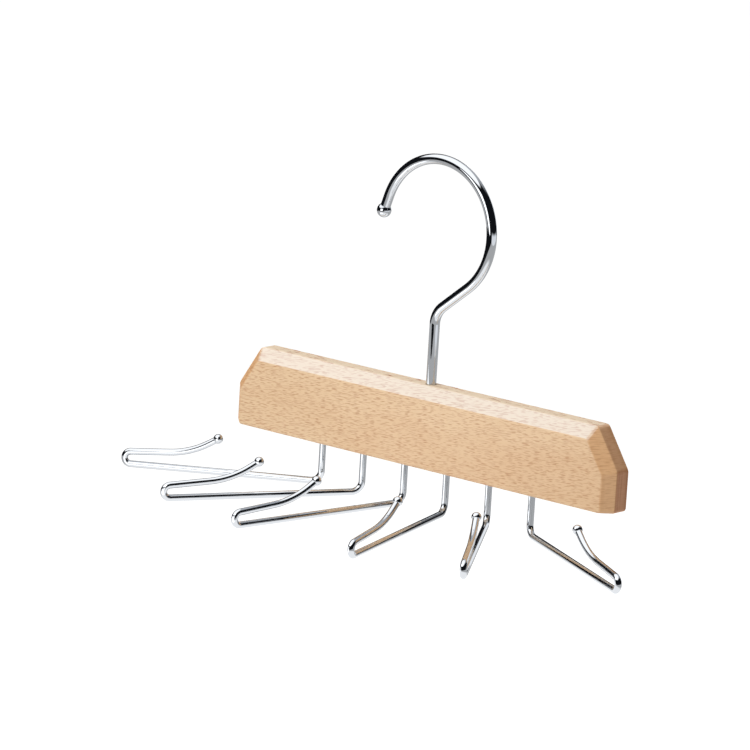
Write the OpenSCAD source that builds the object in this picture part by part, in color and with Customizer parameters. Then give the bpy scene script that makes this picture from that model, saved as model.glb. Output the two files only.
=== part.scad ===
// Tie hanger: a beech bar that swivels under a chromed hook, with six chromed
// wire arms that swivel under the bar. Millimetres, +Z up, +X along the bar,
// and the arms fan out towards -Y. The origin is where the rail touches the hook.

/* [Bar] */
// Length of the bar
bar_len = 225; // [200:5:300]
// Height of the bar
bar_h = 38; // [32:1:60]
// Thickness of the bar
bar_t = 18; // [15:0.5:30]
// Length taken off the top edge by each cut corner
corner_run = 12.5; // [6:0.5:25]
// Length taken off each end by its cut corner
corner_drop = 19; // [8:0.5:24]
// Width of the bevel along the top, seen from the front
top_bevel = 6; // [2:0.5:10]
// Width of the bevels along the ends and the cut corners, seen from the front
end_bevel = 5; // [2:0.5:10]
// Depth of all bevels, front to back
bevel_depth = 5; // [2:0.25:7]
// Radius to which all the bar's edges are eased
edge_ease = 0.8; // [0.3:0.1:1.5]
// Radius of the rounded corners of the bar's ends and top, seen from the front
corner_round = 3; // [1.5:0.1:5]
// Radius of its two lower corners
foot_round = 1.6; // [1.5:0.1:5]

/* [Hook] */
// Diameter of the hook's wire
hook_wire_d = 4.8; // [4:0.1:6]
// Straight stem of the hook above the bar
hook_stem = 28; // [10:1:60]
// Bend radius of the neck, on the wire's centre line
hook_neck_r = 11; // [6:0.5:20]
// Angle that the neck bends outwards
hook_neck_angle = 51.5; // [40:0.5:65]
// Straight wire between the neck and the large bend
hook_neck_len = 17.5; // [5:0.5:30]
// Radius of the large bend, on the wire's centre line
hook_r = 31.5; // [25:0.5:45]
// Angle of the large bend
hook_bend_angle = 212.5; // [190:0.5:240]
// Straight wire from the large bend to the ball's centre
hook_tip_len = 7.5; // [4:0.5:20]
// Diameter of the ball on the hook's end
hook_ball_d = 6.8; // [6.4:0.1:10]

/* [Hook seat] */
// Length of the hook's bush inside the bar
hook_bush_len = 12; // [6:1:16]
// Wall of the bush
hook_bush_wall = 1.05; // [0.8:0.05:1.5]
// Width of the bush's flange around its tube
hook_flange_w = 1.8; // [1:0.1:2.5]
// Thickness of the bush's flange
hook_flange_t = 1.5; // [1:0.1:3]
// Thickness of the washer under the flange
hook_washer_t = 1.2; // [0.8:0.1:2]
// Diameter of the riveted head on the hook's lower end
hook_head_d = 8; // [7:0.1:9]
// Height of the riveted head
hook_head_h = 3; // [2:0.1:4]
// Depth of the recess in the bar's underside
hook_recess_depth = 14; // [10:0.5:16]

/* [Arms] */
// Distance from one arm's stem to the next
arm_pitch = 25; // [20:0.5:30]
// Diameter of the arms' wire
arm_wire_d = 3.2; // [2.5:0.1:4]
// Drop from the bar's underside to where the stem's and the run's lines cross
arm_drop = 20; // [15:0.5:35]
// Bend radius under the stem
arm_bend_r = 5; // [3:0.5:10]
// Angle that the lower run drops by on its way out
arm_droop_angle = 1; // [0:0.5:4]
// Reach from the stem's centre to the outside of the return bend's centre line
arm_reach = 95; // [80:1:120]
// Radius of the return bend
arm_return_r = 3; // [2.2:0.1:5]
// Angle that the returning wire opens by from the lower run
arm_open_angle = 3.8; // [0:0.2:8]
// Straight wire after the return bend
arm_return_len = 19; // [5:0.5:30]
// Radius of the curve that lifts the returning wire
arm_lift_r = 42.5; // [30:0.5:60]
// Angle of that lift
arm_lift_angle = 27; // [10:1:32]
// Straight wire from the lift to the ball's centre
arm_tip_len = 5; // [3:0.5:8]
// Diameter of the ball on an arm's end
arm_ball_d = 4.6; // [4.4:0.1:6]

/* [Fan of the arms at rest] */
// Direction of the first arm, from the bar's right end round to the front
arm_1_angle = 152; // [145:0.5:165]
// Direction of the second arm
arm_2_angle = 122; // [115:0.5:130]
// Direction of the third arm
arm_3_angle = 102.5; // [98:0.5:108]
// Direction of the fourth arm
arm_4_angle = 76; // [72:0.5:82]
// Direction of the fifth arm
arm_5_angle = 57; // [50:0.5:62]
// Direction of the sixth arm
arm_6_angle = 27.5; // [15:0.5:35]

/* [Arm sockets] */
// Length of a socket inside the bar
socket_len = 14; // [10:0.5:18]
// Wall of a socket
socket_wall = 1.5; // [1:0.1:2]
// Width of a socket's flange around its tube
socket_flange_w = 1; // [0.6:0.1:1.5]
// Thickness of a socket's flange
socket_flange_t = 0.8; // [0.5:0.1:1.2]
// Number of barbs around a socket
socket_barbs = 3; // [1:1:4]
// Height of a barb above the tube
socket_barb_h = 0.3; // [0.1:0.05:0.5]
// Diameter of the upset head on an arm's upper end
arm_head_d = 5.2; // [4.4:0.1:5.6]
// Height of the upset head
arm_head_h = 1.6; // [1:0.1:2.5]
// Free height above the head in its bore
arm_head_room = 1.4; // [0.5:0.1:3]

/* [Fits] */
// Running clearance around each swivelling wire
turn_gap = 0.05; // [0.03:0.01:0.1]
// End play under each head
end_play = 0.05; // [0.03:0.01:0.1]
// Clearance of the hook's wire in the bare wood at the top
wood_gap = 0.2; // [0.1:0.05:0.5]
// Clearance between the bush's flange and the wall of its recess
recess_gap = 0.2; // [0.1:0.05:0.5]

/* [Hidden] */
$fn = 48;
arm_angles = [arm_1_angle, arm_2_angle, arm_3_angle, arm_4_angle, arm_5_angle, arm_6_angle];
arm_count = len(arm_angles);
arm_pieces = ["socket", "wire", "ball"];
arm_nodes = [for (k = [1:arm_count], piece = arm_pieces) str("arm_", k, "_", piece)];

// How far a cutting shape runs past the face that it cuts
past = 1;
// Half the angle of a drill's point
drill_point = 59;
// Number of sides of the eased edges' curves, and of steps round each rounded corner
ease_fn = 8;
round_steps = 3;
// How far a straight wire laps into a bend, and how much thicker the bend is
bend_lap = 0.1;
bend_swell = 0.03;

// The bar's six sides, seen from the front: [angle from +Z towards +X, distance from the
// underside's middle, bevel]
half_len = bar_len / 2;
corner_angle = atan2(corner_drop, corner_run);
corner_reach = half_len * sin(corner_angle) + (bar_h - corner_drop) * cos(corner_angle);
bar_sides = [
    [180, 0, 0], [90, half_len, end_bevel], [corner_angle, corner_reach, end_bevel],
    [0, bar_h, top_bevel], [-corner_angle, corner_reach, end_bevel], [-90, half_len, end_bevel]
];

// Heights in the hook's seat, from the bar's underside
flange_z = hook_recess_depth - hook_flange_t;
washer_z = flange_z - hook_washer_t;
head_top_z = washer_z - end_play;
head_low_z = head_top_z - hook_head_h;
bush_top_z = hook_recess_depth + hook_bush_len;
bush_bore_d = hook_wire_d + 2 * turn_gap;
bush_d = bush_bore_d + 2 * hook_bush_wall;
flange_d = bush_d + 2 * hook_flange_w;
recess_d = flange_d + 2 * recess_gap;
head_edge_h = hook_head_h / 3;

// The hook's bends, as far as its plane needs them: the neck's end, then the centre of the large bend
neck_x = hook_neck_r * (1 - cos(hook_neck_angle)) + hook_neck_len * sin(hook_neck_angle);
neck_z = hook_stem + hook_neck_r * sin(hook_neck_angle) + hook_neck_len * cos(hook_neck_angle);
bend_x = neck_x - hook_r * cos(hook_neck_angle);
bend_z = neck_z + hook_r * sin(hook_neck_angle);

// The rail touches the inside of the large bend at its top
seat_x = bend_x;
seat_z = bar_h + bend_z + hook_r - hook_wire_d / 2;

// The lower run meets the stem's line at the drop, and the return bend reaches out to the full reach
bend_angle = 90 - arm_droop_angle;
bend_tangent = arm_bend_r * tan(bend_angle / 2);
line_len = (arm_reach - arm_return_r * (1 + sin(arm_droop_angle))) / cos(arm_droop_angle);

// Sizes of the sockets and of the bores that hold them
socket_bore_d = arm_wire_d + 2 * turn_gap;
socket_d = socket_bore_d + 2 * socket_wall;
barb_step = socket_len / (socket_barbs + 1);
arm_head_z = socket_len + end_play;
chamber_z = arm_head_z + arm_head_h + arm_head_room;

// A bent wire along a list of moves, starting up +Z. A move is [length, 0] for
// a straight, or [radius, angle] for a bend towards +X, or -X if negative. Each
// straight laps a little way into the bends beside it, which are a hair thicker.
module bent_wire(moves, d, step = 0) {
    if (step < len(moves)) {
        size = moves[step][0];
        turn = moves[step][1];
        side = sign(turn);
        if (turn == 0) {
            back = step > 0 ? bend_lap : 0;
            ahead = step < len(moves) - 1 ? bend_lap : 0;
            translate([0, 0, -back]) cylinder(h = back + size + ahead, d = d);
            translate([0, 0, size]) bent_wire(moves, d, step + 1);
        } else {
            mirror([side < 0 ? 1 : 0, 0, 0]) translate([size, 0, 0])
                rotate([90, abs(turn) - 180, 0]) wire_bend(size, abs(turn), d + bend_swell);
            translate([side * size, 0, 0]) rotate([0, turn, 0]) translate([-side * size, 0, 0])
                bent_wire(moves, d, step + 1);
        }
    }
}

module wire_bend(r, turn, d) {
    rotate_extrude(angle = turn) translate([r, 0]) circle(d = d);
}

// The end of a list of moves, as [x, z, turn], for what sits on the wire's end
function wire_end(moves, x = 0, z = 0, turn = 0, step = 0) =
    step == len(moves) ? [x, z, turn] :
    let (size = moves[step][0], bend = moves[step][1], side = sign(bend), next = turn + bend)
    bend == 0 ?
        wire_end(moves, x + size * sin(turn), z + size * cos(turn), turn, step + 1) :
        wire_end(moves, x + side * size * (cos(turn) - cos(next)),
            z + side * size * (sin(next) - sin(turn)), next, step + 1);

// Moves the children from the bar's own place, on its underside's middle, to the part's origin
module from_bar() {
    translate([-seat_x, 0, -seat_z]) children();
}

module at_arm(k) {
    from_bar() translate([(k - (arm_count - 1) / 2) * arm_pitch, 0, 0]) children();
}

// Where two of the bar's sides meet once each is moved in by its own inset
function meet(a, b, in_a, in_b) =
    [(a[1] - in_a) * cos(b[0]) - (b[1] - in_b) * cos(a[0]),
     (b[1] - in_b) * sin(a[0]) - (a[1] - in_a) * sin(b[0])] / sin(a[0] - b[0]);

// How far in the eased edge's centre lies at the front face, for a side with this bevel
function face_inset(bevel) = bevel == 0 ? edge_ease :
    bevel + edge_ease * (norm([bevel, bevel_depth]) - bevel) / bevel_depth;

// A ball that reaches its full radius at both poles and along its equator
module edge_bead() {
    rotate_extrude($fn = ease_fn) intersection() {
        circle(r = edge_ease, $fn = ease_fn);
        translate([0, -edge_ease]) square([edge_ease, 2 * edge_ease]);
    }
}

// The bar before drilling: the hull of beads round each corner of the outline, and round
// each corner of the faces within the bevels
module bar_blank() {
    side_y = bar_t / 2 - bevel_depth
        - edge_ease * (norm([end_bevel, bevel_depth]) - bevel_depth) / end_bevel;
    face_y = bar_t / 2 - edge_ease;
    hull() for (i = [0:len(bar_sides) - 1], front = [-1, 1], j = [0:round_steps]) {
        a = bar_sides[i];
        b = bar_sides[(i + 1) % len(bar_sides)];
        radius = a[2] * b[2] == 0 ? foot_round : corner_round;
        more = radius - edge_ease;
        angle = a[0] - (a[0] - b[0] + 360) % 360 * j / round_steps;
        bow = more * [sin(angle), cos(angle)];
        side = meet(a, b, radius, radius) + bow;
        face = meet(a, b, face_inset(a[2]) + more, face_inset(b[2]) + more) + bow;
        translate([side[0], front * side_y, side[1]]) edge_bead();
        translate([face[0], front * face_y, face[1]]) edge_bead();
    }
}

// The hook's hole: a recess from below, the bush's bore, and a close hole to the top
module hook_hole() {
    translate([0, 0, -past]) cylinder(h = hook_recess_depth + past, d = recess_d);
    cylinder(h = bush_top_z, d = bush_d);
    cylinder(h = bar_h + past, d = hook_wire_d + 2 * wood_gap);
}

// The outside of a socket's tube, with saw-tooth barbs that grip the wood
module socket_outside() {
    cylinder(h = socket_len, d = socket_d);
    for (i = [1:socket_barbs]) translate([0, 0, (i - 0.5) * barb_step])
        cylinder(h = barb_step, d1 = socket_d + 2 * socket_barb_h, d2 = socket_d);
}

// An arm's hole: the pressed-in socket's own shape, room for the head, and the drill's point
module arm_hole() {
    socket_outside();
    translate([0, 0, -past]) cylinder(h = chamber_z + past, d = socket_d);
    translate([0, 0, chamber_z])
        cylinder(h = socket_d / 2 / tan(drill_point), d1 = socket_d, d2 = 0);
}

module beech_bar() {
    color([0.886, 0.769, 0.627]) {
        difference() {
            from_bar() bar_blank();
            from_bar() hook_hole();
            for (k = [0:arm_count - 1]) at_arm(k) arm_hole();
        }
    }
}

module hook_bush() {
    color([0.72, 0.72, 0.74]) from_bar() difference() {
        union() {
            translate([0, 0, flange_z]) cylinder(h = hook_flange_t, d = flange_d);
            translate([0, 0, flange_z]) cylinder(h = hook_flange_t + hook_bush_len, d = bush_d);
        }
        translate([0, 0, flange_z - past])
            cylinder(h = hook_flange_t + hook_bush_len + 2 * past, d = bush_bore_d);
    }
}

module hook_washer() {
    color([0.66, 0.67, 0.69]) from_bar() translate([0, 0, washer_z]) difference() {
        cylinder(h = hook_washer_t, d = flange_d);
        translate([0, 0, -past]) cylinder(h = hook_washer_t + 2 * past, d = bush_bore_d);
    }
}

// The hook's moves from its riveted head up to the ball's centre
hook_moves = [
    [bar_h + hook_stem - head_top_z, 0],
    [hook_neck_r, hook_neck_angle],
    [hook_neck_len, 0],
    [hook_r, -hook_bend_angle],
    [hook_tip_len, 0]
];

module hook_wire() {
    color([0.86, 0.87, 0.89]) from_bar() {
        translate([0, 0, head_top_z - head_edge_h]) cylinder(h = head_edge_h, d = hook_head_d);
        translate([0, 0, head_low_z])
            cylinder(h = hook_head_h - head_edge_h, d1 = hook_wire_d, d2 = hook_head_d);
        translate([0, 0, head_top_z]) bent_wire(hook_moves, hook_wire_d);
    }
}

// A ball on a wire's end. The wire comes up +Z and ends at the ball's centre.
module end_ball(ball_d, wire_d) {
    difference() {
        sphere(d = ball_d);
        translate([0, 0, -ball_d]) cylinder(h = ball_d, d = wire_d);
    }
}

module hook_ball() {
    tip = wire_end(hook_moves);
    color([0.86, 0.87, 0.89]) from_bar() translate([tip[0], 0, head_top_z + tip[1]])
        rotate([0, tip[2], 0]) end_ball(hook_ball_d, hook_wire_d);
}

// An arm's moves, from under its head down to the ball's centre
arm_moves = [
    [arm_head_z + arm_drop - bend_tangent, 0],
    [arm_bend_r, bend_angle],
    [line_len - bend_tangent, 0],
    [arm_return_r, 180 - arm_open_angle],
    [arm_return_len, 0],
    [arm_lift_r, -arm_lift_angle],
    [arm_tip_len, 0]
];

// Turns an arm to its place in the fan, with its path starting down from under its head
module arm_place(k) {
    at_arm(k) rotate([0, 0, -arm_angles[k]]) translate([0, 0, arm_head_z]) rotate([180, 0, 0])
        children();
}

module arm_socket(k) {
    color([0.72, 0.72, 0.74]) at_arm(k) difference() {
        union() {
            translate([0, 0, -socket_flange_t])
                cylinder(h = socket_flange_t, d = socket_d + 2 * socket_flange_w);
            socket_outside();
        }
        translate([0, 0, -socket_flange_t - past])
            cylinder(h = socket_flange_t + socket_len + 2 * past, d = socket_bore_d);
    }
}

module arm_wire(k) {
    color([0.86, 0.87, 0.89]) arm_place(k) {
        translate([0, 0, -arm_head_h]) cylinder(h = arm_head_h, d = arm_head_d);
        bent_wire(arm_moves, arm_wire_d);
    }
}

module arm_ball(k) {
    tip = wire_end(arm_moves);
    color([0.86, 0.87, 0.89]) arm_place(k) translate([tip[0], 0, tip[1]]) rotate([0, tip[2], 0])
        end_ball(arm_ball_d, arm_wire_d);
}

beech_bar();
hook_bush();
hook_washer();
hook_wire();
hook_ball();
for (k = [0:arm_count - 1]) {
    arm_socket(k);
    arm_wire(k);
    arm_ball(k);
}
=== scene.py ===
import bpy
import bmesh
import math
from mathutils import Matrix, Vector


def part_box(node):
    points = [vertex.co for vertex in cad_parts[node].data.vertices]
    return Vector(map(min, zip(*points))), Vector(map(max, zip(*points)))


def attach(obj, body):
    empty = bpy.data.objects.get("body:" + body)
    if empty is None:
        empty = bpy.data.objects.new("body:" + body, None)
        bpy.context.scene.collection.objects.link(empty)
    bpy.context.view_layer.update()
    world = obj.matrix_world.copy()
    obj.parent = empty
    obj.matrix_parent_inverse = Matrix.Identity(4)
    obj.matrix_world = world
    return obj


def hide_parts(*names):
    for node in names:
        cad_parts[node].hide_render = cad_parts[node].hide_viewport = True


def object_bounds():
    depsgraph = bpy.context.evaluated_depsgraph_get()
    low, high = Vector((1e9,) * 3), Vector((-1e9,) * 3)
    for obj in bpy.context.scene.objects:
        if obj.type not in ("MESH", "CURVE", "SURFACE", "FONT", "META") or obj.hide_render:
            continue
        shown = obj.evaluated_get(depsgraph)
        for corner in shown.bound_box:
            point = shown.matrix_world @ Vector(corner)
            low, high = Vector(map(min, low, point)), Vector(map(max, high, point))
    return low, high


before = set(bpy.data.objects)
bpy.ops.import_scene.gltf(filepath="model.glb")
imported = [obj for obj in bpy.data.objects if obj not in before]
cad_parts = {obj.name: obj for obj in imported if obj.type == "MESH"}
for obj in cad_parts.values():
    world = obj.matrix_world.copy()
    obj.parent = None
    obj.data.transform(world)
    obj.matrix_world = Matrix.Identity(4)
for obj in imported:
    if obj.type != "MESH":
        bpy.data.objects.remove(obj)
cadLow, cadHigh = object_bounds()

mm = 0.001
white = "#FFFFFF"
scene = bpy.context.scene
scene.view_settings.view_transform = "Standard"


# Small helpers

def linear(hexColour):
    channels = [int(hexColour[i:i + 2], 16) / 255 for i in (1, 3, 5)]
    return [c / 12.92 if c <= 0.04045 else ((c + 0.055) / 1.055) ** 2.4 for c in channels] + [1.0]


def addNode(tree, kind, inputs=None, **settings):
    node = tree.nodes.new(kind)
    for name, value in settings.items():
        setattr(node, name, value)
    for name, value in (inputs or {}).items():
        socket = node.inputs[name]
        if isinstance(value, bpy.types.NodeSocket):
            tree.links.new(value, socket)
        else:
            socket.default_value = value
    return node


def calculate(tree, operation, a, b):
    return addNode(tree, "ShaderNodeMath", {0: a, 1: b}, operation=operation).outputs[0]


def mixColours(tree, factor, a, b):
    mix = addNode(tree, "ShaderNodeMix", {"Factor": factor, "A": a, "B": b}, data_type="RGBA")
    return mix.outputs["Result"]


def ramp(tree, value, low, high, start=0.0, end=1.0):
    return addNode(tree, "ShaderNodeMapRange", {
        "Value": value, "From Min": low, "From Max": high, "To Min": start, "To Max": end},
        interpolation_type="SMOOTHSTEP").outputs["Result"]


def newMaterial(name):
    material = bpy.data.materials.new(name)
    material.use_nodes = True
    material.node_tree.nodes.clear()
    return material, material.node_tree


def setMaterial(piece, material):
    piece.data.materials.clear()
    piece.data.materials.append(material)


def boxCentre(node):
    low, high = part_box(node)
    return (low + high) / 2


def newPiece(name, mesh):
    piece = bpy.data.objects.new(name, mesh)
    scene.collection.objects.link(piece)
    return piece


# Camera, as the photograph was taken

camera = {
    "azimuth": 39.75,                          # degrees from the front towards the bar's right end
    "elevation": 12.02,
    "roll": 3.46,                              # the camera leans, so the bar slopes a little more
    "distance": 2225.4 * mm,
    "target": Vector((-31.75, 0, -103.21)) * mm,
    "focal": 4829.4,                           # focal length, in pixels of the photograph
    "pixels": 750,                             # the photograph's width
    "film": 36.0,                              # mm, the film's width
    "farthest": 50.0,                          # well past the floor
}


def makeCamera():
    az, el, roll = (math.radians(camera[k]) for k in ("azimuth", "elevation", "roll"))
    back = Vector((math.sin(az) * math.cos(el), -math.cos(az) * math.cos(el), math.sin(el)))
    level = back.cross(Vector((0, 0, -1))).normalized()
    up = back.cross(level)
    right = level * math.cos(roll) + up * math.sin(roll)
    up = back.cross(right)
    data = bpy.data.cameras.new("camera")
    data.sensor_width = camera["film"]
    data.lens = camera["focal"] / camera["pixels"] * camera["film"]
    data.clip_end = camera["farthest"]
    eye = bpy.data.objects.new("camera", data)
    eye.matrix_world = Matrix((right, up, back)).transposed().to_4x4()
    eye.location = camera["target"] + back * camera["distance"]
    scene.collection.objects.link(eye)
    scene.camera = eye


makeCamera()
print("camera made")


# Studio: pale panels and two cards round a dark room, for the chrome to mirror, and two lamps

studio = {
    "room": "#101114",                         # what chrome shows between the panels
    # round panels, in degrees: azimuth and elevation of the middle, half angle, soft edge
    "softbox": (-50, 69, 42, 7),               # overhead
    "softboxColour": "#FFFFFF",
    "ceiling": (-160, 62, 30, 30),             # greyer, behind it
    "ceilingColour": "#A9ABAF",
    # upright panels, in degrees: azimuth from and to, elevation from and to, soft edge
    "walls": [
        (42, 152, -90, -4, 6, "#D6D8DB"),      # reflector on the right
        (-150, -131, -20, -4, 3, "#FFFFFF"),   # paper behind the hanger, as wide as the picture
        (174, 206, -8, 22, 4, "#D8DADD"),      # screen behind on the right, for the hook's right edge
    ],
    "shine": 1.6,                              # brightness of all panels in the chrome
    "fill": 0.47,                              # strength of the world as light
    "lampSize": 0.9,
    "lampDistance": 1.6,                       # from the camera's target
    "keyFrom": Vector((-0.17, -0.42, 0.36)),   # from above the front, a little to the left
    "keyPower": 15.2,
    "backFrom": Vector((-0.15, 0.6, 0.4)),     # weaker, for the top and the back
    "backPower": 7.0,
    # cards that light nothing but show in what shines: middle and size in mm, glow
    "cards": [
        ((-42, -250, 6), (155, 137), 2.4),     # in front of the hook
        ((-72, -150, -168), (136, 68), 1.7),   # low in front of the left arms
    ],
}


def direction(azimuth, elevation):
    a, e = math.radians(azimuth), math.radians(elevation)
    return Vector((math.sin(a) * math.cos(e), -math.cos(a) * math.cos(e), math.sin(e)))


def along(tree, look, axis):
    return addNode(tree, "ShaderNodeVectorMath", {0: look, 1: axis}, operation="DOT_PRODUCT").outputs["Value"]


def cap(tree, look, azimuth, elevation, half, soft):
    return ramp(tree, along(tree, look, direction(azimuth, elevation)),
                math.cos(math.radians(half + soft / 2)), math.cos(math.radians(half - soft / 2)))


def wall(tree, look, azFrom, azTo, low, high, soft):
    e = math.sin(math.radians(soft / 2))
    edges = [
        (direction(azFrom + 90, 0), 0),
        (direction(azTo - 90, 0), 0),
        (Vector((0, 0, 1)), math.sin(math.radians(low))),
        (Vector((0, 0, -1)), -math.sin(math.radians(high))),
    ]
    mask = None
    for axis, limit in edges:
        edge = ramp(tree, along(tree, look, axis), limit - e, limit + e)
        mask = edge if mask is None else calculate(tree, "MULTIPLY", mask, edge)
    return mask


def makeWorld():
    world = bpy.data.worlds.new("studio")
    world.use_nodes = True
    scene.world = world
    tree = world.node_tree
    tree.nodes.clear()
    look = addNode(tree, "ShaderNodeTexCoord").outputs["Generated"]
    panels = [
        (cap(tree, look, *studio["ceiling"]), studio["ceilingColour"]),
        (cap(tree, look, *studio["softbox"]), studio["softboxColour"]),
    ]
    for *edges, paint in studio["walls"]:
        panels.append((wall(tree, look, *edges), paint))
    colour = linear(studio["room"])
    for mask, paint in panels:
        colour = mixColours(tree, mask, colour, linear(paint))
    rays = addNode(tree, "ShaderNodeLightPath").outputs
    plain = addNode(tree, "ShaderNodeBackground", {"Color": linear(white), "Strength": 1.0})
    mirrored = addNode(tree, "ShaderNodeBackground", {"Color": colour, "Strength": studio["shine"]})
    light = addNode(tree, "ShaderNodeBackground", {"Color": linear(white), "Strength": studio["fill"]})
    shine = addNode(tree, "ShaderNodeMixShader",
                    {0: rays["Is Glossy Ray"], 1: light.outputs[0], 2: mirrored.outputs[0]})
    shown = addNode(tree, "ShaderNodeMixShader",
                    {0: rays["Is Camera Ray"], 1: shine.outputs[0], 2: plain.outputs[0]})
    addNode(tree, "ShaderNodeOutputWorld", {"Surface": shown.outputs[0]})


def makeLamp(name, towards, power):
    data = bpy.data.lights.new(name, "AREA")
    data.size = studio["lampSize"]
    data.energy = power
    lamp = bpy.data.objects.new(name, data)
    lamp.location = camera["target"] + towards.normalized() * studio["lampDistance"]
    lamp.rotation_mode = "QUATERNION"
    lamp.rotation_quaternion = towards.to_track_quat("Z", "Y")
    lamp.visible_glossy = False                # the chrome shows the panels, not the lamps
    lamp.visible_camera = False
    scene.collection.objects.link(lamp)


def makeCard(middle, size, glow):
    width, height = (s * mm for s in size)
    data = bpy.data.lights.new("card", "AREA")
    data.shape = "RECTANGLE"
    data.size, data.size_y = width, height
    data.energy = glow * math.pi * width * height
    card = bpy.data.objects.new("card", data)
    card.location = Vector(middle) * mm
    card.rotation_euler = (math.radians(90), 0, 0)    # upright, facing the hanger
    card.visible_diffuse = False
    card.visible_camera = False
    scene.collection.objects.link(card)


def makeSheet(name, xRange, yRange, z, material):
    mesh = bpy.data.meshes.new(name)
    (left, right), (front, back) = xRange, yRange
    corners = [(left, front, z), (right, front, z), (right, back, z), (left, back, z)]
    mesh.from_pydata(corners, [], [(0, 1, 2, 3)])
    sheet = newPiece(name, mesh)
    setMaterial(sheet, material)
    return sheet


# Table under the arms: a glowing white middle and grey farther off, seen only in what shines

tableTop = {                                   # lengths in mm
    "x": (-760, 640), "y": (-640, 1500),
    "gap": 60,                                 # from the arms down to it
    "glow": 1.3,
    "middle": (40, -80),                       # of the white part
    "fade": (170, 260),                        # from the middle to where the white ends, and the grey begins
    "grey": 0.45,                              # the glow's share that is left there
}


def makeTable():
    z = cadLow.z - tableTop["gap"] * mm
    x, y = (c * mm for c in tableTop["middle"])
    material, tree = newMaterial("tableGlow")
    place = addNode(tree, "ShaderNodeTexCoord").outputs["Object"]
    away = addNode(tree, "ShaderNodeVectorMath", {
        0: place, 1: (x, y, z)}, operation="DISTANCE").outputs["Value"]
    whiteTo, greyFrom = (d * mm for d in tableTop["fade"])
    strength = ramp(tree, away, whiteTo, greyFrom, tableTop["glow"], tableTop["grey"] * tableTop["glow"])
    glow = addNode(tree, "ShaderNodeEmission", {"Strength": strength})
    addNode(tree, "ShaderNodeOutputMaterial", {"Surface": glow.outputs[0]})
    table = makeSheet("table", [x * mm for x in tableTop["x"]], [y * mm for y in tableTop["y"]], z, material)
    table.visible_camera = False
    table.visible_diffuse = False
    table.visible_shadow = False
    table.visible_transmission = False


# Floor: pale and partly glowing, so that it is as white as the picture's background

floorSheet = {
    "colour": "#F2F2F2",
    "drop": 0.45,                              # the hanger hangs this far over it
    "size": 12.0,
    "glow": 0.6,                               # share of its white that a shadow can't take
}


def makeFloor():
    half = floorSheet["size"] / 2
    material, tree = newMaterial("paleFloor")
    rays = addNode(tree, "ShaderNodeLightPath").outputs
    paint = addNode(tree, "ShaderNodeBsdfDiffuse", {"Color": linear(floorSheet["colour"])})
    glow = addNode(tree, "ShaderNodeEmission", {"Color": linear(white), "Strength": floorSheet["glow"]})
    lit = addNode(tree, "ShaderNodeAddShader", {0: paint.outputs[0], 1: glow.outputs[0]})
    seen = addNode(tree, "ShaderNodeMixShader",
                   {0: rays["Is Camera Ray"], 1: paint.outputs[0], 2: lit.outputs[0]})
    # clear from below, and in what shines
    clear = addNode(tree, "ShaderNodeBsdfTransparent")
    under = addNode(tree, "ShaderNodeNewGeometry").outputs["Backfacing"]
    hidden = calculate(tree, "MAXIMUM", rays["Is Glossy Ray"], under)
    gone = addNode(tree, "ShaderNodeMixShader", {0: hidden, 1: seen.outputs[0], 2: clear.outputs[0]})
    addNode(tree, "ShaderNodeOutputMaterial", {"Surface": gone.outputs[0]})
    floor = makeSheet("floor", (-half, half), (-half, half), cadLow.z - floorSheet["drop"], material)


makeWorld()
makeLamp("key", studio["keyFrom"], studio["keyPower"])
makeLamp("back", studio["backFrom"], studio["backPower"])
for card in studio["cards"]:
    makeCard(*card)
makeTable()
makeFloor()
print("studio made")


# Beech under thin satin varnish: pale, short brown ray flecks on its front, growth rings on its ends

beech = {
    "pale": "#ECCBA2",                         # wood between the flecks
    "warm": "#E4BE93",                         # warmer bands of the growth rings
    "grainTilt": 6.0,                          # degrees, the grain dips against the bar's edges
    "wander": 1.2 * mm,                        # how far the grain strays
    "wanderScale": 30.0,                       # its bends to a metre
    "ringGap": 2.0 * mm,                       # one year's growth, front to back
    "ringScale": (4.0, 22.0),                  # the rings' clouds to a metre, along the front and up it
    "ringTone": (0.38, 0.66),                  # where in the noise the warm colour begins and is full
    # a tilt is the sine of a face's angle off the front: its colour begins at the first, full at the second
    "bevel": "#F4E8DA",                        # painted sheen: the slopes along the top are painted paler, as the overhead light makes them
    "bevelTilt": (0.35, 0.6),
    "bevelShare": 0.85,
    # painted sheen: the top is painted paler, as the overhead light makes it
    "top": "#FBE4C6",
    "topTilt": (0.85, 0.97),                   # the underside too
    "slant": "#E8B078",                        # the bevels of the ends cut the grain at a slant
    "slantTilt": (0.2, 0.5),
    "slantShare": 0.7,
    "end": "#C88E64",                          # end grain drinks more varnish
    "endTilt": (0.7, 0.98),
    "endLine": "#A86A36",                      # late wood of each ring
    "lineTone": (0.35, 0.7),
    "streak": "#B0602E",                       # sparse long vessels on the top and underside
    "streakCell": (7.0, 0.8, 9.0),             # mm
    "streakTone": (0.6, 0.68),
    "fleck": "#B0602C",                        # rays
    "fleckCell": (5.0, 7.0, 0.6),              # mm from one fleck to the next: along, deep, across the grain
    "fleckSize": 0.31,                         # half a fleck's share of its cell; a little coarser than real
    "fleckCore": 0.35,                         # the part of it that is at full strength
    "fleckChance": (0.4, 1.0),                 # each fleck's draw: none below the first, full at the second
    "fleckShare": 0.82,
    "fineCell": (3.4, 5.0, 0.3),               # mm, the finer flecks between them
    "fineTone": (0.53, 0.68),
    "fineShare": 0.56,
    "sidewaysLoss": 0.55,                      # flecks fade by these shares on the ends,
    "slopeLoss": 0.4,                          # on the slopes along the top,
    "levelLoss": 0.8,                          # and on the top and underside
    "relief": 0.1,                             # strength of the bump
    "fleckDepth": 0.05 * mm,                   # flecks lie lower than the wood between them
    "roughness": 0.45,
    "ior": 1.5,
    "coat": 0.2,
    "coatRoughness": 0.25,
}


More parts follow.
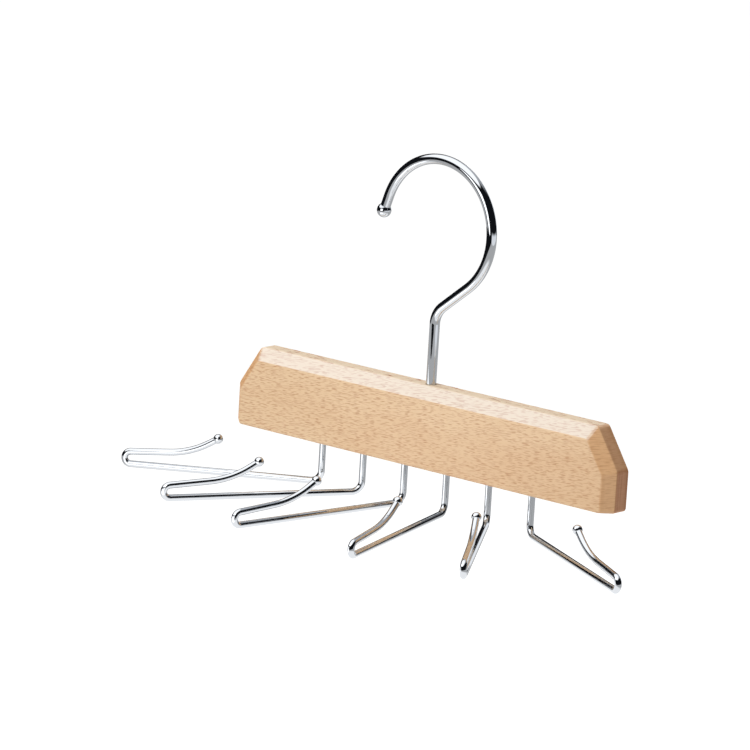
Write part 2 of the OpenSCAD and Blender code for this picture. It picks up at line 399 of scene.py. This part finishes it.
def makeBeech():
    material, tree = newMaterial("varnishedBeech")

    def noise(place, scale, detail, roughness=0.5):
        return addNode(tree, "ShaderNodeTexNoise", {
            "Vector": place, "Scale": scale, "Detail": detail, "Roughness": roughness}).outputs

    def cells(size):
        return addNode(tree, "ShaderNodeMapping", {
            "Vector": grain, "Scale": tuple(1 / (c * mm) for c in size)}).outputs[0]

    def times(a, b):
        return calculate(tree, "MULTIPLY", a, b)

    place = addNode(tree, "ShaderNodeTexCoord").outputs["Object"]
    turned = addNode(tree, "ShaderNodeMapping", {
        "Vector": place, "Rotation": (0, math.radians(beech["grainTilt"]), 0)}).outputs[0]
    strays = noise(turned, beech["wanderScale"], 0.0)["Color"]
    drift = addNode(tree, "ShaderNodeVectorMath", {
        0: strays, 1: (0.5, 0.5, 0.5)}, operation="SUBTRACT").outputs[0]
    bend = addNode(tree, "ShaderNodeVectorMath", {
        0: drift, "Scale": beech["wander"]}, operation="SCALE").outputs[0]
    grain = addNode(tree, "ShaderNodeVectorMath", {0: turned, 1: bend}, operation="ADD").outputs[0]

    # growth rings lie in sheets along the front, so they show as soft clouds there and as lines on the ends
    ringAlong, ringUp = beech["ringScale"]
    sheets = addNode(tree, "ShaderNodeMapping", {
        "Vector": grain, "Scale": (ringAlong, 1 / beech["ringGap"], ringUp)}).outputs[0]
    rings = noise(sheets, 1.0, 3.0, 0.6)["Fac"]
    warmth = ramp(tree, rings, *beech["ringTone"])
    wood = mixColours(tree, warmth, linear(beech["pale"]), linear(beech["warm"]))

    # faces the other ways, told apart by the piece's own normals
    normal = addNode(tree, "ShaderNodeNewGeometry").outputs["True Normal"]
    ownNormal = addNode(tree, "ShaderNodeVectorTransform", {"Vector": normal},
                        vector_type="NORMAL", convert_from="WORLD", convert_to="OBJECT").outputs[0]
    facing = addNode(tree, "ShaderNodeSeparateXYZ", {"Vector": ownNormal}).outputs
    sideways = calculate(tree, "ABSOLUTE", facing["X"], 0.0)
    upright = calculate(tree, "SUBTRACT", 1.0, sideways)
    slope = times(ramp(tree, facing["Z"], *beech["bevelTilt"]), upright)
    level = ramp(tree, calculate(tree, "ABSOLUTE", facing["Z"], 0.0), *beech["topTilt"])
    streaks = ramp(tree, noise(cells(beech["streakCell"]), 1.0, 2.0)["Fac"], *beech["streakTone"])
    slanted = ramp(tree, sideways, *beech["slantTilt"])
    across = ramp(tree, sideways, *beech["endTilt"])
    ringLines = ramp(tree, rings, *beech["lineTone"])
    # painted sheen: the slopes along the top get a paler colour, as the overhead light makes them
    wood = mixColours(tree, times(slope, beech["bevelShare"]), wood, linear(beech["bevel"]))
    # painted sheen: the top, and the underside with it, get a paler colour, as the overhead light makes the
    # top
    wood = mixColours(tree, level, wood, linear(beech["top"]))
    wood = mixColours(tree, times(streaks, level), wood, linear(beech["streak"]))
    wood = mixColours(tree, times(slanted, beech["slantShare"]), wood, linear(beech["slant"]))
    endWood = mixColours(tree, ringLines, linear(beech["end"]), linear(beech["endLine"]))
    wood = mixColours(tree, across, wood, endWood)

    # ray flecks: thin spindles along the grain, each with its own strength
    rays = addNode(tree, "ShaderNodeTexVoronoi", {
        "Vector": cells(beech["fleckCell"]), "Scale": 1.0, "Randomness": 1.0}).outputs
    core = beech["fleckSize"] * beech["fleckCore"]
    spindle = ramp(tree, rays["Distance"], core, beech["fleckSize"], 1.0, 0.0)
    chance = addNode(tree, "ShaderNodeSeparateXYZ", {"Vector": rays["Color"]}).outputs["X"]
    bold = times(spindle, ramp(tree, chance, *beech["fleckChance"]))

    # and between them a dense field of finer ones
    fineTone = noise(cells(beech["fineCell"]), 1.0, 0.0)["Fac"]
    fine = times(ramp(tree, fineTone, *beech["fineTone"]), beech["fineShare"])
    strength = calculate(tree, "MAXIMUM", bold, fine)
    lost = times(sideways, beech["sidewaysLoss"])
    lost = calculate(tree, "MAXIMUM", lost, times(slope, beech["slopeLoss"]))
    lost = calculate(tree, "MAXIMUM", lost, times(level, beech["levelLoss"]))
    share = times(calculate(tree, "SUBTRACT", 1.0, lost), beech["fleckShare"])
    colour = mixColours(tree, times(strength, share), wood, linear(beech["fleck"]))

    bump = addNode(tree, "ShaderNodeBump", {
        "Height": strength, "Strength": beech["relief"], "Distance": -beech["fleckDepth"]}).outputs[0]
    shader = addNode(tree, "ShaderNodeBsdfPrincipled", {
        "Base Color": colour, "Roughness": beech["roughness"], "IOR": beech["ior"], "Normal": bump,
        "Coat Weight": beech["coat"], "Coat Roughness": beech["coatRoughness"]})
    addNode(tree, "ShaderNodeOutputMaterial", {"Surface": shader.outputs[0]})
    return material


# Chrome plate over drawn wire: a clear, cold mirror with faint waves; zinc plate: duller and mottled

metals = {
    "chrome": {"colour": "#CBCED2", "roughness": 0.015, "wave": 0.012, "waveGap": 5.0 * mm},
    "zinc": {"colour": "#B9BCC2", "roughness": 0.34, "wave": 0.12, "waveGap": 0.8 * mm},
}
waveDepth = 0.4 * mm
roughnessSpread = (0.7, 1.4)                   # the roughness varies between these shares of itself


def makeMetal(name, look):
    material, tree = newMaterial(name)
    place = addNode(tree, "ShaderNodeTexCoord").outputs["Object"]
    wave = addNode(tree, "ShaderNodeTexNoise", {
        "Vector": place, "Scale": 1 / look["waveGap"], "Detail": 2.0}).outputs["Fac"]
    least, most = (look["roughness"] * share for share in roughnessSpread)
    dull = addNode(tree, "ShaderNodeMapRange", {"Value": wave, "To Min": least, "To Max": most}).outputs[0]
    bump = addNode(tree, "ShaderNodeBump", {
        "Height": wave, "Strength": look["wave"], "Distance": waveDepth}).outputs[0]
    shader = addNode(tree, "ShaderNodeBsdfPrincipled", {
        "Base Color": linear(look["colour"]), "Metallic": 1.0, "Roughness": dull, "Normal": bump})
    addNode(tree, "ShaderNodeOutputMaterial", {"Surface": shader.outputs[0]})
    return material


varnishedBeech = makeBeech()
chromePlate = makeMetal("chromePlate", metals["chrome"])
zincPlate = makeMetal("zincPlate", metals["zinc"])
print("materials made")


# Bent wires: each is a list of moves, a straight as a length in mm or a bend as (radius, degrees)

bending = {
    "bendStep": 2.5,                           # degrees from one point of a bend to the next
    "leastSteps": 4,
    "straightStep": 3.0,                       # mm from one point of a straight to the next
    "sides": 40,
}


def walk(moves):
    x, z, turn = 0.0, 0.0, 0.0
    points = [Vector((x, z))]
    for move in moves:
        if isinstance(move, tuple):
            radius, degrees = move
            side = math.copysign(1, degrees)
            steps = max(bending["leastSteps"], round(abs(degrees) / bending["bendStep"]))
            for i in range(1, steps + 1):
                now = turn + math.radians(degrees) * i / steps
                points.append(Vector((x + side * radius * (math.cos(turn) - math.cos(now)),
                                      z + side * radius * (math.sin(now) - math.sin(turn)))))
            turn += math.radians(degrees)
        else:
            steps = max(1, round(move / bending["straightStep"]))
            for i in range(1, steps + 1):
                gone = move * i / steps
                points.append(Vector((x + gone * math.sin(turn), z + gone * math.cos(turn))))
        x, z = points[-1]
    return points, turn


def wireTree():
    tree = bpy.data.node_groups.new("bentWire", "GeometryNodeTree")
    inputs = {"Geometry": "Geometry", "Radius": "Float", "Sides": "Int", "Material": "Material"}
    for name, kind in inputs.items():
        tree.interface.new_socket(name, in_out="INPUT", socket_type="NodeSocket" + kind)
    tree.interface.new_socket("Geometry", in_out="OUTPUT", socket_type="NodeSocketGeometry")
    given = addNode(tree, "NodeGroupInput").outputs
    path = addNode(tree, "GeometryNodeMeshToCurve", {"Mesh": given["Geometry"]}).outputs[0]
    ring = addNode(tree, "GeometryNodeCurvePrimitiveCircle", {
        "Radius": given["Radius"], "Resolution": given["Sides"]}).outputs["Curve"]
    tube = addNode(tree, "GeometryNodeCurveToMesh", {
        "Curve": path, "Profile Curve": ring, "Fill Caps": True}).outputs[0]
    smooth = addNode(tree, "GeometryNodeSetShadeSmooth", {"Geometry": tube}).outputs[0]
    solid = addNode(tree, "GeometryNodeRealizeInstances", {"Geometry": smooth}).outputs[0]
    plated = addNode(tree, "GeometryNodeSetMaterial", {
        "Geometry": solid, "Material": given["Material"]}).outputs[0]
    addNode(tree, "NodeGroupOutput", {"Geometry": plated})
    return tree


bentWire = wireTree()


def applyTree(piece, tree, values):
    modifier = piece.modifiers.new("shape", "NODES")
    modifier.node_group = tree
    for item in tree.interface.items_tree:
        if item.in_out == "INPUT" and item.name in values:
            modifier[item.identifier] = values[item.name]
    graph = bpy.context.evaluated_depsgraph_get()
    shaped = bpy.data.meshes.new_from_object(piece.evaluated_get(graph))
    piece.modifiers.clear()
    piece.data = shaped


def sweepWire(name, points, place, radius, material):
    mesh = bpy.data.meshes.new(name)
    mesh.from_pydata([place(p * mm) for p in points], [(i, i + 1) for i in range(len(points) - 1)], [])
    piece = newPiece(name, mesh)
    applyTree(piece, bentWire, {"Radius": radius, "Sides": bending["sides"], "Material": material})
    return piece


# Round parts: each is a profile of (radius, height) in mm, spun round its axis

turning = {
    "sides": 48,
    "ballSteps": 26,                           # from a ball's hole to its far pole
    "ballHole": 0.5,                           # mm, the depth shown of the hole that the wire fills
}


def spinProfile(name, profile, place, material):
    shape = bmesh.new()
    sides = turning["sides"]
    angles = [2 * math.pi * i / sides for i in range(sides)]
    rings = []
    for radius, height in profile:
        if radius == 0:
            corners = [Vector((0, 0, height))]
        else:
            corners = [Vector((radius * math.cos(a), radius * math.sin(a), height)) for a in angles]
        rings.append([shape.verts.new(place(corner * mm)) for corner in corners])
    for low, high in zip(rings, rings[1:]):
        for i in range(sides):
            j = (i + 1) % sides
            face = [low[i % len(low)], low[j % len(low)], high[j % len(high)], high[i % len(high)]]
            shape.faces.new(list(dict.fromkeys(face)))
    bmesh.ops.recalc_face_normals(shape, faces=shape.faces)
    mesh = bpy.data.meshes.new(name)
    shape.to_mesh(mesh)
    shape.free()
    mesh.shade_smooth()
    piece = newPiece(name, mesh)
    setMaterial(piece, material)
    return piece


# A ball, drilled and pressed on a wire's end
def ballProfile(ball, wire):
    neck = math.asin(wire / ball)
    mouth = -ball / 2 * math.cos(neck)
    bottom = mouth + turning["ballHole"]
    profile = [(0, bottom), (wire / 2, bottom), (wire / 2, mouth)]
    steps = turning["ballSteps"]
    for i in range(1, steps + 1):
        a = neck + (math.pi - neck) * i / steps
        profile.append((ball / 2 * math.sin(a) if i < steps else 0, -ball / 2 * math.cos(a)))
    return profile


# A wire's end hammered to a round head, which lies below its flat face if way is -1 and above if 1
def headProfile(look, way):
    radius, height, edge = look["head"] / 2, look["headHigh"], look["headEdge"]
    profile = [(radius * out, way * height * up) for out, up in look["headCurve"]]
    return profile + [(radius, way * edge), (radius - edge, 0), (0, 0)]


# Hook: the wire runs from its riveted head in the bar up to the ball

hook = {                                       # mm and degrees
    "wire": 4.8, "ball": 6.8,
    "head": 8.0, "headHigh": 3.0, "headEdge": 0.1,
    "headCurve": [(0, 1), (0.5, 0.97), (0.8, 0.8), (0.96, 0.55), (1, 0.33)],
    "play": 0.05,                              # between the head and its washer
    "rise": 54.75,                             # straight from the head to the neck
    "neck": (11, 51.5), "reach": 17.5, "bend": (31.5, -212.5), "tip": 7.5,
}


def makeHook():
    bush = boxCentre("hook_bush")
    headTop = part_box("hook_washer")[0].z - hook["play"] * mm
    points, turn = walk([hook["rise"], hook["neck"], hook["reach"], hook["bend"], hook["tip"]])

    def place(p):
        return Vector((bush.x + p.x, 0, headTop + p.y))

    wire = sweepWire("hookWire", points, place, hook["wire"] / 2 * mm, chromePlate)
    tip = place(points[-1] * mm)
    ball = spinProfile("hookBall", ballProfile(hook["ball"], hook["wire"]),
                       lambda p: Matrix.Rotation(turn, 3, "Y") @ p + tip, chromePlate)
    for piece, node in ((wire, "hook_wire"), (ball, "hook_ball")):
        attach(piece, "hook")
        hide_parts(node)
    head = spinProfile("hookHead", headProfile(hook, -1),
                       lambda p: Vector((bush.x, 0, headTop)) + p, zincPlate)
    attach(head, "hook")


# Arms: six alike, each turned to its own place in the fan

arm = {                                        # mm and degrees
    "wire": 3.2, "ball": 4.6,
    "head": 5.2, "headHigh": 1.6, "headEdge": 0.1,
    "headCurve": [(0, 1), (0.7, 1), (0.95, 0.8), (1, 0.5)],
    "play": 0.05,                              # between the head and its socket
    "drop": 20.0,                              # from the bar's underside to where stem and run would cross
    "bend": 5.0, "droop": 1.0,
    "reach": 95.0, "returnBend": 3.0, "open": 3.8,
    "back": 19.0, "lift": (42.5, -27.0), "tip": 5.0,
}


def armMoves(headUp):
    turn = 90 - arm["droop"]
    tangent = arm["bend"] * math.tan(math.radians(turn / 2))
    droop = math.radians(arm["droop"])
    line = (arm["reach"] - arm["returnBend"] * (1 + math.sin(droop))) / math.cos(droop)
    return [headUp + arm["drop"] - tangent, (arm["bend"], turn), line - tangent,
            (arm["returnBend"], 180 - arm["open"]), arm["back"], arm["lift"], arm["tip"]]


def makeArm(k):
    socket = boxCentre(f"arm_{k}_socket")
    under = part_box("beech_bar")[0].z
    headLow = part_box(f"arm_{k}_socket")[1].z + arm["play"] * mm
    points, turn = walk(armMoves((headLow - under) / mm))
    out = boxCentre(f"arm_{k}_ball") - socket
    swing = Matrix.Rotation(math.atan2(out.y, out.x), 3, "Z")
    top = Vector((socket.x, 0, headLow))

    def place(p):
        return top + swing @ Vector((p.x, 0, -p.y))

    wire = sweepWire(f"arm{k}Wire", points, place, arm["wire"] / 2 * mm, chromePlate)
    tip = place(points[-1] * mm)
    tilt = swing @ Matrix.Rotation(math.pi - turn, 3, "Y")
    ball = spinProfile(f"arm{k}Ball", ballProfile(arm["ball"], arm["wire"]),
                       lambda p: tilt @ p + tip, chromePlate)
    for piece, node in ((wire, f"arm_{k}_wire"), (ball, f"arm_{k}_ball")):
        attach(piece, f"arm_{k}")
        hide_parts(node)
    head = spinProfile(f"arm{k}Head", headProfile(arm, 1), lambda p: top + p, zincPlate)
    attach(head, f"arm_{k}")


makeHook()
for k in range(1, 7):
    makeArm(k)
print("wires made")


# The bar and its steel fittings keep their CAD shape and get their finish here

setMaterial(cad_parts["beech_bar"], varnishedBeech)
for name in ["hook_bush", "hook_washer"] + [f"arm_{k}_socket" for k in range(1, 7)]:
    setMaterial(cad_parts[name], zincPlate)

print("finished")
